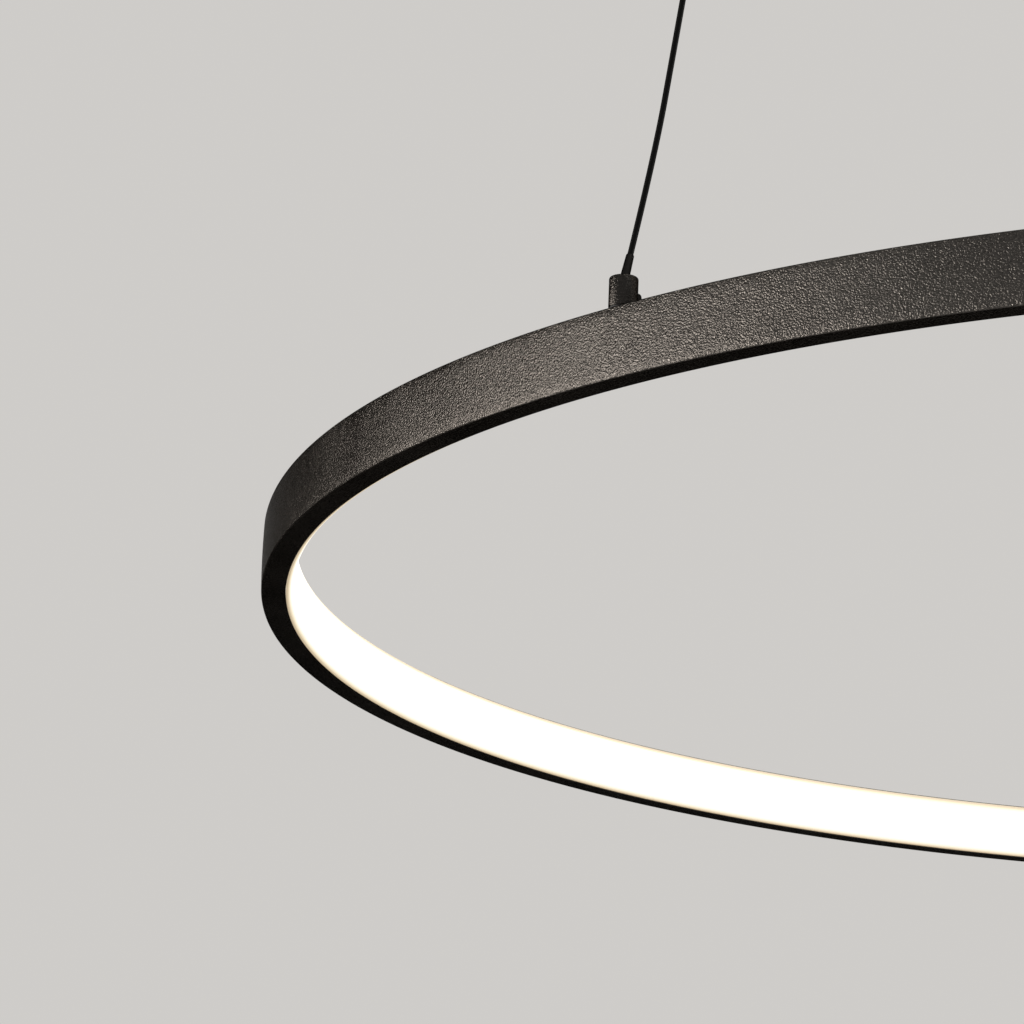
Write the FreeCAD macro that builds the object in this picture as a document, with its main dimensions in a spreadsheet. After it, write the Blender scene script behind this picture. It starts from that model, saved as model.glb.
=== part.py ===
import FreeCAD, Part
import math
import os
import re
import Sketcher
from FreeCAD import Placement, Rotation, Vector

# A slim LED ring hung level under a flat round ceiling rose by three thin wires.
# Millimetres, +Z up. The origin is the centre of the rose's top face, against the ceiling.
# The three wire stations are 120 degrees apart, and each has its own frame: +X points in
# towards the lamp's axis, +Z up.

SIZES = {
    # The ring's aluminium channel, open towards the inside.
    "ceilingDrop": 960.0,
    "ringRadius": 400.0,
    "ringHeight": 21.1,
    "ringDepth": 8.3,
    "webWall": 1.2,
    "flangeWall": 1.0,
    "ringEdgeBevel": 0.4,
    "grooveInset": 0.5,
    "grooveWidth": 0.8,
    "grooveDepth": 0.35,
    "seamWidth": 0.2,
    # The opal diffuser that snaps into it.
    "diffuserProud": 1.4,
    "diffuserBevel": 0.6,
    "diffuserMargin": 0.3,
    "diffuserFit": 0.08,
    "legThickness": 0.8,
    # The light source behind it.
    "flexWidth": 10.0,
    "flexThickness": 0.3,
    "tapeThickness": 0.2,
    "flexGap": 6.0,
    "packageLength": 3.5,
    "packageWidth": 2.8,
    "packageDepth": 0.8,
    "stripFit": 0.02,
    # The joint where the bent channel's ends meet.
    "splicePlateLength": 44.0,
    "splicePlateHeight": 3.0,
    "splicePlateFit": 0.12,
    "spliceScrewRadius": 1.0,
    "spliceScrewPitch": 12.0,
    "spliceScrewLength": 3.4,
    # The wire fittings on the ring's top edge.
    "studRadius": 1.25,
    "studFit": 0.05,
    "studEndChamfer": 0.2,
    "studSpare": 0.5,
    "plugRadius": 2.75,
    "plugHeight": 4.8,
    "plugChamfer": 0.3,
    "bushFlangeRadius": 3.8,
    "bushCollarRadius": 2.6,
    "bushShankRadius": 1.75,
    "bushFlangeWall": 0.4,
    "bushFit": 0.05,
    "tagThickness": 0.3,
    "tagRadius": 2.3,
    "tagWidth": 3.0,
    "tagGap": 0.3,
    "anchorNutFlats": 4.0,
    "anchorNutHeight": 2.0,
    "cupRadius": 4.15,
    "cupHeight": 9.4,
    "cupBevel": 0.6,
    "cupFit": 0.1,
    "cupMouthRadius": 2.75,
    "lipRise": 0.9,
    "cupScrewHeight": 4.3,
    "cupScrewRadius": 0.95,
    "cupScrewHeadRadius": 1.7,
    "cupScrewHeadLength": 1.4,
    "cupScrewBevel": 0.45,
    "cupScrewSocketRadius": 0.75,
    "cupScrewSocketDepth": 0.7,
    "spotFaceDepth": 0.2,
    "spotFaceFit": 0.15,
    # The wires and their ball ends.
    "wireRadius": 0.875,
    "wireFit": 0.075,
    "ballRadius": 2.0,
    "ballFit": 0.05,
    "nippleDepth": 0.9,
    "nippleFootRadius": 1.5,
    "pivotHeight": 8.4,
    "ferruleRadius": 1.3,
    "ferruleTopRadius": 1.15,
    "ferruleLength": 8.8,
    "ferruleChamfer": 0.15,
    "wireSocketFloor": 0.5,
    "footLean": 15.0,
    "kneeHeight": 47.5,
    "wireTailTop": 12.0,
    "wireBend": 25.0,
    # The ceiling rose.
    "roseRadius": 240.0,
    "roseHeight": 34.0,
    "coverWall": 1.0,
    "coverBevel": 2.5,
    "ceilingGap": 0.5,
    "plateWall": 1.5,
    "plateFit": 0.4,
    "plateRimHeight": 13.0,
    "plateEdgeBevel": 1.2,
    "cableHoleRadius": 15.0,
    "ceilingScrewInset": 90.0,
    "ceilingHoleRadius": 2.75,
    "roseScrewDepth": 7.5,
    "roseScrewRadius": 1.5,
    "roseScrewLength": 6.0,
    "roseScrewHeadRadius": 2.8,
    "roseScrewHeadLength": 1.8,
    "screwFit": 0.15,
    # What the rose holds.
    "driverLength": 150.0,
    "driverWidth": 42.0,
    "driverHeight": 21.0,
    "driverCentre": -80.0,
    "driverCorner": 3.0,
    "driverEar": 11.0,
    "driverEarWall": 2.0,
    "blockLength": 33.0,
    "blockWidth": 17.0,
    "blockHeight": 13.0,
    "blockCentre": 50.0,
    "blockPitch": 10.0,
    "blockWellRadius": 2.4,
    "blockWellDepth": 5.0,
    "blockScrewLength": 3.0,
    "earthScrewPlace": 35.0,
    "fixingRadius": 1.75,
    "fixingHeadRadius": 3.2,
    "fixingHeadLength": 2.2,
    # The self-locking wire grippers in the rose's cover.
    "gripInset": 17.0,
    "gripHeadRadius": 6.5,
    "gripHeadLength": 12.0,
    "gripHeadBevel": 0.8,
    "gripShankRadius": 5.0,
    "gripShankLength": 11.0,
    "gripHoleFit": 0.1,
    "gripNutFlats": 14.0,
    "gripNutHeight": 3.0,
    "throatRadius": 2.4,
    "throatDepth": 3.0,
    "throatWall": 1.0,
    "chamberRadius": 3.8,
    "chamberFloor": 3.0,
    "chamberRoof": 9.5,
    "jawTop": 2.0,
    "jawFloor": 2.6,
    "jawFit": 0.12,
    "plungerRadius": 3.4,
    "plungerFit": 0.15,
    "plungerNoseRadius": 2.1,
    "plungerShoulder": 6.7,
    "plungerTip": 17.0,
    "plungerBoreRadius": 1.1,
    "plungerFlareRadius": 2.5,
    "plungerFlareDepth": 3.5,
    "plungerBevel": 0.5,
    "mouthDepth": 15.5,
    "springRadius": 2.6,
    "springWireRadius": 0.4,
    "springSeatFit": 0.1,
}

STATIONS = {1: -90, 2: 30, 3: 150}
SEAM_AZIMUTH = -30
BETWEEN_STATIONS = (-30, 90, 210)
PACKAGE_COUNT = 120

RING_TOP = "(-ceilingDrop)"
RING_BASE = "(-ceilingDrop - ringHeight)"
RING_MOUTH = "(ringRadius - ringDepth)"
WEB_INSIDE = "(ringRadius - webWall)"
STATION_RADIUS = "(ringRadius - ringDepth / 2)"
FLEX_BACK = "(ringRadius - webWall - tapeThickness)"
FLEX_FACE = "(ringRadius - webWall - tapeThickness - flexThickness)"
COVER_BASE = "(-roseHeight)"
GRIP_CIRCLE = "(roseRadius - gripInset)"
SCREW_CIRCLE = "(roseRadius - ceilingScrewInset)"
PLATE_FACE = "(-plateWall)"
PLATE_RADIUS = "(roseRadius - coverWall - plateFit)"
PLUG_TOP = "(bushFlangeWall + plugHeight)"
TAG_TOP = "(-flangeWall - bushFlangeWall)"
NUT_TOP = "(-flangeWall - bushFlangeWall - tagThickness)"

doc = FreeCAD.newDocument("RingChandelier")
sheet = doc.addObject("Spreadsheet::Sheet", "Size")
pieces = []


def fill_sheet():
    for row, (alias, size) in enumerate(SIZES.items(), start=1):
        sheet.set(f"A{row}", alias)
        sheet.set(f"B{row}", str(size))
        sheet.setAlias(f"B{row}", alias)
    doc.recompute()


def bound(text):
    # An expression in the sheet's words, with the sheet's name put before each of them.
    return re.sub(r"[A-Za-z]\w*", lambda word: ("Size." + word[0]) if word[0] in SIZES else word[0], str(text))


def value(text):
    result = sheet.evalExpression(bound(text))
    return float(getattr(result, "Value", result))


def new_body(label):
    body = doc.addObject("PartDesign::Body", label)
    body.Label = label
    body.AllowCompound = True
    pieces.append(body)
    return body


def new_sketch(body, name, role, offset="0"):
    # Sketches on the XZ plane look along +Y, with X across and Z up.
    sketch = body.newObject("Sketcher::SketchObject", name)
    plane = next(item for item in body.Origin.OriginFeatures if item.Role == role)
    sketch.AttachmentSupport = [(plane, "")]
    sketch.MapMode = "FlatFace"
    sketch.setExpression("AttachmentOffset.Base.z", bound(offset))
    return sketch


def hold(sketch, kind, side, end, text):
    # One dimension of a sketch, driven by an expression.
    target = (side, end) if end else (side,)
    index = sketch.addConstraint(Sketcher.Constraint(kind, *target, value(text)))
    sketch.setExpression(f"Constraints[{index}]", bound(text))


def round_side(start, end, radius, turn):
    # The short way round from start to end; turn is 1 for a left-hand bend, -1 for a right-hand one.
    chord = end - start
    left = Vector(-chord.y, chord.x, 0).normalize()
    rise = math.sqrt(max(radius ** 2 - (chord.Length / 2) ** 2, 0))
    centre = start + chord / 2 + left * turn * rise
    angles = [math.atan2(point.y - centre.y, point.x - centre.x) for point in (start, end)]
    circle = Part.Circle(centre, Vector(0, 0, 1), radius)
    return Part.ArcOfCircle(circle, *(angles if turn > 0 else reversed(angles)))


def outline(sketch, corners):
    # A closed outline. (x, y) ends a straight side; (x, y, radius, turn) ends a round one.
    points = [Vector(value(corner[0]), value(corner[1]), 0) for corner in corners]
    ends = []
    for number, corner in enumerate(corners):
        start, end = points[number - 1], points[number]
        if len(corner) == 2:
            side = sketch.addGeometry(Part.LineSegment(start, end), False)
            ends.append((side, 1, 2))
        else:
            radius, turn = corner[2:]
            side = sketch.addGeometry(round_side(start, end, value(radius), turn), False)
            ends.append((side, 1, 2) if turn > 0 else (side, 2, 1))
    for number, corner in enumerate(corners):
        side, _, last = ends[number]
        following, first, _ = ends[(number + 1) % len(corners)]
        sketch.addConstraint(Sketcher.Constraint("Coincident", side, last, following, first))
        hold(sketch, "DistanceX", side, last, corner[0])
        hold(sketch, "DistanceY", side, last, corner[1])
        if len(corner) == 4:
            hold(sketch, "Radius", side, None, corner[2])


def circle(sketch, x, y, radius):
    centre = Vector(value(x), value(y), 0)
    side = sketch.addGeometry(Part.Circle(centre, Vector(0, 0, 1), value(radius)), False)
    hold(sketch, "DistanceX", side, 3, x)
    hold(sketch, "DistanceY", side, 3, y)
    hold(sketch, "Radius", side, None, radius)


def rounded_rectangle(x, y, length, width, corner):
    left, right = f"{x} - {length} / 2", f"{x} + {length} / 2"
    near, far = f"{y} - {width} / 2", f"{y} + {width} / 2"
    return [
        (f"{right} - {corner}", near),
        (right, f"{near} + {corner}", corner, 1),
        (right, f"{far} - {corner}"),
        (f"{right} - {corner}", far, corner, 1),
        (f"{left} + {corner}", far),
        (left, f"{far} - {corner}", corner, 1),
        (left, f"{near} + {corner}"),
        (f"{left} + {corner}", near, corner, 1),
    ]


def rectangle(left, near, right, far):
    return [(right, near), (right, far), (left, far), (left, near)]


def feature(body, kind, sketch, name, size_name, size, reverse, centred):
    made = body.newObject("PartDesign::" + kind, name)
    made.Profile = sketch
    if kind in ("Revolution", "Groove"):
        made.ReferenceAxis = (sketch, ["V_Axis"])
    made.setExpression(size_name, bound(size))
    made.Reversed = reverse
    made.Midplane = centred
    body.Tip = made
    doc.recompute()
    return made


def revolve(body, sketch, name, sweep="360", centred=False):
    return feature(body, "Revolution", sketch, name, "Angle", sweep, False, centred)


def pad(body, sketch, name, length, reverse=False):
    return feature(body, "Pad", sketch, name, "Length", length, reverse, False)


def pocket(body, sketch, name, length, reverse=False):
    before = body.Shape.Volume
    made = feature(body, "Pocket", sketch, name, "Length", length, reverse, False)
    if not body.Shape.Volume < before:
        raise RuntimeError(f"{body.Label}: {name} cuts nothing")
    return made


def around_axis(body, original, name, count):
    pattern = body.newObject("PartDesign::PolarPattern", name)
    pattern.Originals = [original]
    axis = next(item for item in body.Origin.OriginFeatures if item.Role == "Z_Axis")
    pattern.Axis = (axis, [""])
    pattern.Angle = 360
    pattern.Occurrences = count
    body.Tip = pattern
    doc.recompute()
    return pattern


def place(item, x="0", y="0", z="0", rotation=Rotation()):
    item.Placement = Placement(Vector(value(x), value(y), value(z)), rotation)
    for axis, text in zip("xyz", (x, y, z)):
        item.setExpression("Placement.Base." + axis, bound(text))


def about_z(degrees):
    return Rotation(Vector(0, 0, 1), degrees)


def place_at_station(item, azimuth, radius, z, tilt=Rotation()):
    turn = about_z(azimuth + 180)
    place(item, f"{radius} * cos({azimuth})", f"{radius} * sin({azimuth})", z, turn * tilt)


def turned_piece(label, section_name, corners, sweep="360"):
    body = new_body(label)
    section = new_sketch(body, section_name, "XZ_Plane")
    outline(section, corners)
    revolve(body, section, section_name + "_turned", sweep)
    return body


def shaped_piece(label, shape, placement=Placement()):
    item = doc.addObject("Part::Feature", label)
    item.Label = label
    item.Shape = shape
    item.Placement = placement
    pieces.append(item)
    return item


def hex_nut(label, flats, height, bore):
    blank = doc.addObject("Part::Prism", label + "_blank")
    blank.Polygon = 6
    blank.setExpression("Circumradius", bound(f"{flats} / sqrt(3)"))
    blank.setExpression("Height", bound(height))
    blank.Placement.Rotation = about_z(30)
    hole = doc.addObject("Part::Cylinder", label + "_hole")
    hole.setExpression("Radius", bound(bore))
    hole.setExpression("Height", bound(height))
    nut = doc.addObject("Part::Cut", label)
    nut.Label = label
    nut.Base = blank
    nut.Tool = hole
    pieces.append(nut)
    return nut


def screw_shape(shank_radius, shank_length, head_radius, head_length):
    # A pan-head screw along +Z: the shank starts at z = 0, and the head ends it.
    bevel = head_length / 3
    shank = Part.makeCylinder(shank_radius, shank_length)
    rim = Part.makeCylinder(head_radius, head_length - bevel, Vector(0, 0, shank_length))
    crown_foot = Vector(0, 0, shank_length + head_length - bevel)
    crown = Part.makeCone(head_radius, head_radius - bevel, bevel, crown_foot)
    return shank.fuse([rim, crown]).removeSplitter()


# ---- The ring ----

def ring_profile():
    body = new_body("ring_profile")
    section = new_sketch(body, "channel_section", "XZ_Plane")
    groove_near = f"({RING_MOUTH} + grooveInset)"
    groove_far = f"({RING_MOUTH} + grooveInset + grooveWidth)"
    roof = f"({RING_TOP} - flangeWall)"
    floor = f"({RING_BASE} + flangeWall)"
    outline(section, [
        ("ringRadius - ringEdgeBevel", RING_BASE),
        ("ringRadius", f"{RING_BASE} + ringEdgeBevel"),
        ("ringRadius", f"{RING_TOP} - ringEdgeBevel"),
        ("ringRadius - ringEdgeBevel", RING_TOP),
        (RING_MOUTH, RING_TOP),
        (RING_MOUTH, roof),
        (groove_near, roof),
        (groove_near, f"{roof} + grooveDepth"),
        (groove_far, f"{roof} + grooveDepth"),
        (groove_far, roof),
        (WEB_INSIDE, roof),
        (WEB_INSIDE, floor),
        (groove_far, floor),
        (groove_far, f"{floor} - grooveDepth"),
        (groove_near, f"{floor} - grooveDepth"),
        (groove_near, floor),
        (RING_MOUTH, floor),
        (RING_MOUTH, RING_BASE),
    ])
    revolve(body, section, "bent_channel", "360 - seamWidth / ringRadius * 180 / pi")
    stud_holes = new_sketch(body, "stud_holes", "XY_Plane", RING_TOP)
    for azimuth in STATIONS.values():
        turn = azimuth - SEAM_AZIMUTH
        circle(stud_holes, f"{STATION_RADIUS} * cos({turn})", f"{STATION_RADIUS} * sin({turn})",
               "bushShankRadius + bushFit")
    pocket(body, stud_holes, "stud_hole_cut", "flangeWall")
    screw_holes = new_sketch(body, "splice_screw_holes", "XY_Plane", RING_BASE)
    splice_circles(screw_holes)
    pocket(body, screw_holes, "splice_screw_hole_cut", "flangeWall", reverse=True)
    place(body, rotation=about_z(SEAM_AZIMUTH))


def splice_circles(sketch):
    # Two screws on each side of the seam.
    for step in (-1.5, -0.5, 0.5, 1.5):
        angle = f"({step} * spliceScrewPitch / {STATION_RADIUS} * 180 / pi)"
        circle(sketch, f"{STATION_RADIUS} * cos({angle})", f"{STATION_RADIUS} * sin({angle})",
               "spliceScrewRadius + studFit")


def splice():
    body = new_body("splice_plate")
    section = new_sketch(body, "plate_section", "XZ_Plane")
    top = f"({RING_BASE} + flangeWall + splicePlateHeight)"
    outline(section, rectangle(f"{RING_MOUTH} + grooveInset + grooveWidth + 2 * splicePlateFit",
                               f"{RING_BASE} + flangeWall", f"{WEB_INSIDE} - splicePlateFit", top))
    revolve(body, section, "curved_plate", f"splicePlateLength / {STATION_RADIUS} * 180 / pi", centred=True)
    holes = new_sketch(body, "plate_screw_holes", "XY_Plane", top)
    splice_circles(holes)
    pocket(body, holes, "plate_screw_hole_cut", "splicePlateHeight")
    place(body, rotation=about_z(SEAM_AZIMUTH))

    screws = new_body("splice_screws")
    shanks = new_sketch(screws, "screw_shanks", "XY_Plane", f"{RING_BASE} + studEndChamfer")
    for step in (-1.5, -0.5, 0.5, 1.5):
        angle = f"({step} * spliceScrewPitch / {STATION_RADIUS} * 180 / pi)"
        circle(shanks, f"{STATION_RADIUS} * cos({angle})", f"{STATION_RADIUS} * sin({angle})", "spliceScrewRadius")
    pad(screws, shanks, "grub_screws", "spliceScrewLength")
    place(screws, rotation=about_z(SEAM_AZIMUTH))


def diffuser():
    top = f"({RING_TOP} - diffuserMargin)"
    base = f"({RING_BASE} + diffuserMargin)"
    back = f"({RING_MOUTH} - diffuserFit)"
    face = f"({RING_MOUTH} - diffuserProud)"
    leg_top = f"({RING_TOP} - flangeWall - diffuserFit)"
    leg_base = f"({RING_BASE} + flangeWall + diffuserFit)"
    barb_near = f"({RING_MOUTH} + grooveInset + diffuserFit)"
    barb_far = f"({RING_MOUTH} + grooveInset + grooveWidth - diffuserFit)"
    body = turned_piece("diffuser", "diffuser_section", [
        (back, base),
        (back, leg_base),
        (barb_near, leg_base),
        (barb_near, f"{leg_base} - grooveDepth"),
        (barb_far, leg_base),
        (barb_far, f"{leg_base} + legThickness"),
        (back, f"{leg_base} + legThickness"),
        (back, f"{leg_top} - legThickness"),
        (barb_far, f"{leg_top} - legThickness"),
        (barb_far, leg_top),
        (barb_near, f"{leg_top} + grooveDepth"),
        (barb_near, leg_top),
        (back, leg_top),
        (back, top),
        (f"{face} + diffuserBevel", top),
        (face, f"{top} - diffuserBevel"),
        (face, f"{base} + diffuserBevel"),
        (f"{face} + diffuserBevel", base),
    ])
    place(body, rotation=about_z(SEAM_AZIMUTH))


def light_strip():
    middle = f"({RING_BASE} + ringHeight / 2)"
    body = turned_piece("led_flex", "flex_section",
                        rectangle(FLEX_FACE, f"{middle} - flexWidth / 2", FLEX_BACK, f"{middle} + flexWidth / 2"),
                        f"360 - flexGap / {WEB_INSIDE} * 180 / pi")
    place(body, rotation=about_z(SEAM_AZIMUTH + value(f"flexGap / {WEB_INSIDE} * 90 / pi")))

    long, tall, deep = value("packageLength"), value("packageWidth"), value("packageDepth")
    corner = Vector(value(f"{FLEX_FACE} - stripFit") - deep, -long / 2, value(middle) - tall / 2)
    packages = []
    for number in range(PACKAGE_COUNT):
        package = Part.makeBox(deep, long, tall, corner)
        package.rotate(Vector(0, 0, 0), Vector(0, 0, 1), SEAM_AZIMUTH + (number + 0.5) * 360 / PACKAGE_COUNT)
        packages.append(package)
    shaped_piece("led_packages", Part.makeCompound(packages))


# ---- The wire fittings on the ring ----

def anchor_base(number, azimuth):
    body = turned_piece(f"anchor_base_{number}", "base_section", [
        ("studRadius - studEndChamfer", f"{NUT_TOP} - anchorNutHeight - studSpare"),
        ("studRadius", f"{NUT_TOP} - anchorNutHeight - studSpare + studEndChamfer"),
        ("studRadius", "bushFlangeWall"),
        ("plugRadius", "bushFlangeWall"),
        ("plugRadius", f"{PLUG_TOP} - plugChamfer"),
        ("plugRadius - plugChamfer", PLUG_TOP),
        ("0", PLUG_TOP),
        ("0", f"{NUT_TOP} - anchorNutHeight - studSpare"),
    ])
    place_at_station(body, azimuth, STATION_RADIUS, RING_TOP)


def anchor_bush(number, azimuth):
    body = turned_piece(f"anchor_bush_{number}", "bush_section", [
        ("bushCollarRadius", TAG_TOP),
        ("bushCollarRadius", "-flangeWall"),
        ("bushShankRadius", "-flangeWall"),
        ("bushShankRadius", "0"),
        ("bushFlangeRadius", "0"),
        ("bushFlangeRadius", "bushFlangeWall"),
        ("studRadius + studFit", "bushFlangeWall"),
        ("studRadius + studFit", TAG_TOP),
    ])
    place_at_station(body, azimuth, STATION_RADIUS, RING_TOP)


def anchor_nut(number, azimuth):
    nut = hex_nut(f"anchor_nut_{number}", "anchorNutFlats", "anchorNutHeight", "(studRadius + studFit)")
    place_at_station(nut, azimuth, STATION_RADIUS, f"{RING_TOP} + {NUT_TOP} - anchorNutHeight")


def solder_tag(number, azimuth):
    # A ring tag under the nut, with a tail bent down to the light strip's edge, ready for solder.
    body = new_body(f"solder_tag_{number}")
    eye = new_sketch(body, "tag_eye", "XY_Plane", NUT_TOP)
    strip_face = "(-ringDepth / 2 + webWall + tapeThickness + flexThickness + stripFit)"
    circle(eye, "0", "0", "tagRadius")
    circle(eye, "0", "0", "studRadius + studFit")
    pad(body, eye, "tag_eye_plate", "tagThickness")
    bridge = new_sketch(body, "tag_bridge", "XY_Plane", NUT_TOP)
    outline(bridge, rectangle(strip_face, "-tagWidth / 2", "-studRadius - 3 * studFit", "tagWidth / 2"))
    pad(body, bridge, "tag_bridge_plate", "tagThickness")
    tail = new_sketch(body, "tag_tail", "YZ_Plane", strip_face)
    tail_end = "(-ringHeight / 2 + flexWidth / 2 + tagGap)"
    outline(tail, rectangle("-tagWidth / 2", tail_end, "tagWidth / 2", TAG_TOP))
    pad(body, tail, "tag_tail_plate", "tagThickness")
    place_at_station(body, azimuth, STATION_RADIUS, RING_TOP)


def plain_washer(number, azimuth):
    body = new_body(f"anchor_washer_{number}")
    eye = new_sketch(body, "washer_face", "XY_Plane", NUT_TOP)
    circle(eye, "0", "0", "tagRadius")
    circle(eye, "0", "0", "studRadius + studFit")
    pad(body, eye, "washer_plate", "tagThickness")
    place_at_station(body, azimuth, STATION_RADIUS, RING_TOP)


def anchor_cup(number, azimuth):
    seat = "(ballRadius + ballFit)"
    bore_top = f"({PLUG_TOP} + cupFit)"
    # Its screw hole is on its own -X side, away from the seam of the turned faces.
    body = new_body(f"anchor_cup_{number}")
    section = new_sketch(body, "cup_section", "XZ_Plane")
    outline(section, [
        ("cupRadius", "bushFlangeWall"),
        ("cupRadius", "cupHeight - cupBevel"),
        ("cupRadius - cupBevel", "cupHeight"),
        ("cupMouthRadius", "cupHeight"),
        (f"sqrt({seat} ^ 2 - lipRise ^ 2)", "pivotHeight + lipRise"),
        (seat, "pivotHeight", seat, -1),
        (seat, bore_top),
        ("plugRadius + cupFit", bore_top),
        ("plugRadius + cupFit", "bushFlangeWall"),
    ])
    revolve(body, section, "cup_turned")
    screw_hole = new_sketch(body, "screw_hole", "YZ_Plane")
    circle(screw_hole, "0", "cupScrewHeight", "cupScrewRadius + studFit")
    pocket(body, screw_hole, "screw_hole_cut", "cupRadius")
    spot_face = new_sketch(body, "spot_face", "YZ_Plane", "-(cupRadius - spotFaceDepth)")
    circle(spot_face, "0", "cupScrewHeight", "cupScrewHeadRadius + spotFaceFit")
    pocket(body, spot_face, "spot_face_cut", "cupRadius")
    place_at_station(body, azimuth, STATION_RADIUS, RING_TOP, about_z(180))


def cup_screw(number, azimuth):
    # Its own axis is +Z here; it is laid over to point out of the cup towards the lamp's axis.
    seat = "(cupRadius - spotFaceDepth)"
    end = f"({seat} + cupScrewHeadLength)"
    body = turned_piece(f"cup_screw_{number}", "screw_section", [
        ("cupScrewRadius", "plugRadius"),
        ("cupScrewRadius", seat),
        ("cupScrewHeadRadius", seat),
        ("cupScrewHeadRadius", f"{end} - cupScrewBevel"),
        ("cupScrewHeadRadius - cupScrewBevel", end),
        ("cupScrewSocketRadius", end),
        ("cupScrewSocketRadius", f"{end} - cupScrewSocketDepth"),
        ("0", f"{end} - cupScrewSocketDepth"),
        ("0", "plugRadius"),
    ])
    place_at_station(body, azimuth, STATION_RADIUS, f"{RING_TOP} + cupScrewHeight", Rotation(Vector(0, 1, 0), 90))


def wire_end(number, azimuth):
    # A half-ball nipple with a swaged ferrule, on the ball's centre with the ferrule along its own +Z.
    neck = "sqrt(ballRadius ^ 2 - ferruleRadius ^ 2)"
    bore = "(wireRadius + wireFit)"
    body = turned_piece(f"wire_end_{number}", "ball_end_section", [
        ("ferruleRadius", neck, "ballRadius", 1),
        ("ferruleTopRadius", "ferruleLength - ferruleChamfer"),
        ("ferruleTopRadius - ferruleChamfer", "ferruleLength"),
        (bore, "ferruleLength"),
        (bore, "wireSocketFloor"),
        ("0", "wireSocketFloor"),
        ("0", "-nippleDepth"),
        ("nippleFootRadius", "-nippleDepth"),
        ("ballRadius", "0"),
    ])
    lean = Rotation(Vector(0, 1, 0), value("footLean"))
    place_at_station(body, azimuth, STATION_RADIUS, f"{RING_TOP} + pivotHeight", lean)


# ---- The wires ----

def wire_route():
    # Points in a station's upright plane: x in towards the lamp's axis, z up from the ceiling's plane.
    ring_top = value(RING_TOP)
    pivot = Vector(0, 0, ring_top + value("pivotHeight"))
    lean = math.radians(value("footLean"))
    up_the_foot = Vector(math.sin(lean), 0, math.cos(lean))
    start = pivot + up_the_foot * (value("wireSocketFloor") + value("wireFit"))
    knee_rise = value("kneeHeight") - value("pivotHeight")
    knee = pivot + Vector(knee_rise * math.tan(lean), 0, knee_rise)
    grip_in = value(f"{STATION_RADIUS} - {GRIP_CIRCLE}")
    mouth = Vector(grip_in, 0, value(f"{COVER_BASE} - mouthDepth"))
    tail = Vector(grip_in, 0, -value("wireTailTop"))
    return [start, knee, mouth, tail]


def bend(before, corner, after, radius):
    # The tangent arc that rounds one corner of a route, and the two points where it starts and ends.
    way_in = (corner - before).normalize()
    way_out = (after - corner).normalize()
    half_turn = way_in.getAngle(way_out) / 2
    reach = radius * math.tan(half_turn)
    first, last = corner - way_in * reach, corner + way_out * reach
    inward = (way_out - way_in).normalize()
    centre = corner + inward * (radius / math.cos(half_turn))
    return Part.Arc(first, centre - inward * radius, last), first, last


def wire(number, azimuth):
    start, knee, mouth, tail = wire_route()
    knee_turn = (knee - start).getAngle(mouth - knee)
    knee_radius = 0.45 * (knee - start).Length / math.tan(knee_turn / 2)
    knee_arc, knee_in, knee_out = bend(start, knee, mouth, knee_radius)
    mouth_arc, mouth_in, mouth_out = bend(knee, mouth, tail, value("wireBend"))
    path = Part.Wire([
        Part.LineSegment(start, knee_in).toShape(),
        knee_arc.toShape(),
        Part.LineSegment(knee_out, mouth_in).toShape(),
        mouth_arc.toShape(),
        Part.LineSegment(mouth_out, tail).toShape(),
    ])
    radius = value("wireRadius")
    section = Part.Wire([Part.Circle(start, knee - start, radius).toShape()])
    tube = path.makePipeShell([section], True, False)
    ideal = math.pi * radius ** 2 * path.Length
    print(f"wire_{number}: length {path.Length:.1f}, bends {knee_radius:.0f} and {value('wireBend'):.0f}, "
          f"volume {tube.Volume:.1f} of {ideal:.1f}")
    station = Vector(value(STATION_RADIUS) * math.cos(math.radians(azimuth)),
                     value(STATION_RADIUS) * math.sin(math.radians(azimuth)), 0)
    shaped_piece(f"wire_{number}", tube, Placement(station, about_z(azimuth + 180)))


# ---- The ceiling rose ----

def side_screw_holes(body, name, radius):
    # Three radial holes near the ceiling, each midway between two wire stations.
    face = new_sketch(body, name, "XZ_Plane")
    circle(face, "0", "-roseScrewDepth", radius)
    cut = pocket(body, face, name + "_cut", "roseRadius")
    around_axis(body, cut, name + "_pattern", len(BETWEEN_STATIONS))


def ceiling_plate():
    body = new_body("ceiling_plate")
    section = new_sketch(body, "plate_section", "XZ_Plane")
    outline(section, [
        (f"{PLATE_RADIUS} - plateWall", PLATE_FACE),
        (f"{PLATE_RADIUS} - plateWall", "-plateRimHeight"),
        (PLATE_RADIUS, "-plateRimHeight"),
        (PLATE_RADIUS, "-plateEdgeBevel"),
        (f"{PLATE_RADIUS} - plateEdgeBevel", "0"),
        ("cableHoleRadius", "0"),
        ("cableHoleRadius", PLATE_FACE),
    ])
    revolve(body, section, "pressed_plate")
    holes = new_sketch(body, "plate_holes", "XY_Plane")
    for azimuth in BETWEEN_STATIONS:
        circle(holes, f"{SCREW_CIRCLE} * cos({azimuth})", f"{SCREW_CIRCLE} * sin({azimuth})",
               "ceilingHoleRadius")
    for side in (-1, 1):
        circle(holes, f"{side} * (driverLength / 2 + driverEar / 2)", "driverCentre", "fixingRadius + screwFit")
    circle(holes, "earthScrewPlace", "blockCentre", "fixingRadius + screwFit")
    pocket(body, holes, "plate_hole_cut", "plateWall")
    side_screw_holes(body, "rim_screw_holes", "roseScrewRadius + screwFit")


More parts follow.
